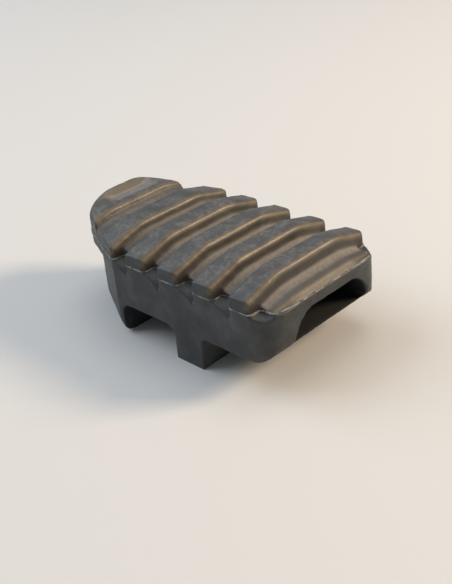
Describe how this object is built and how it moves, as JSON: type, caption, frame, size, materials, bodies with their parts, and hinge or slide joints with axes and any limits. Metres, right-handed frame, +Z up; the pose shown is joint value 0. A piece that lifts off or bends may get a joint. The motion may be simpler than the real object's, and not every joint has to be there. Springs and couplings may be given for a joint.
{
  "type": "sewing machine pedal pad",
  "caption": "Slip-on black rubber pad for a sewing machine pedal, with a ribbed crowned tread on a hollow sleeve that is open at one end and underneath.",
  "frame": {"origin": "middle of the pad's footprint, on the surface that it rests on", "axes": "+X along the pad towards its open end, +Y across it, +Z up through the tread"},
  "size_m": [0.08, 0.044, 0.0284],
  "materials": {
    "tread_rubber": "matt black moulded rubber with light wear on the rib tops",
    "sleeve_rubber": "matt black moulded rubber with a faint grey bloom"
  },
  "bodies": {
    "root": {"tread_sole": "tread_rubber", "pedal_sleeve": "sleeve_rubber"}
  },
  "joints": []
}
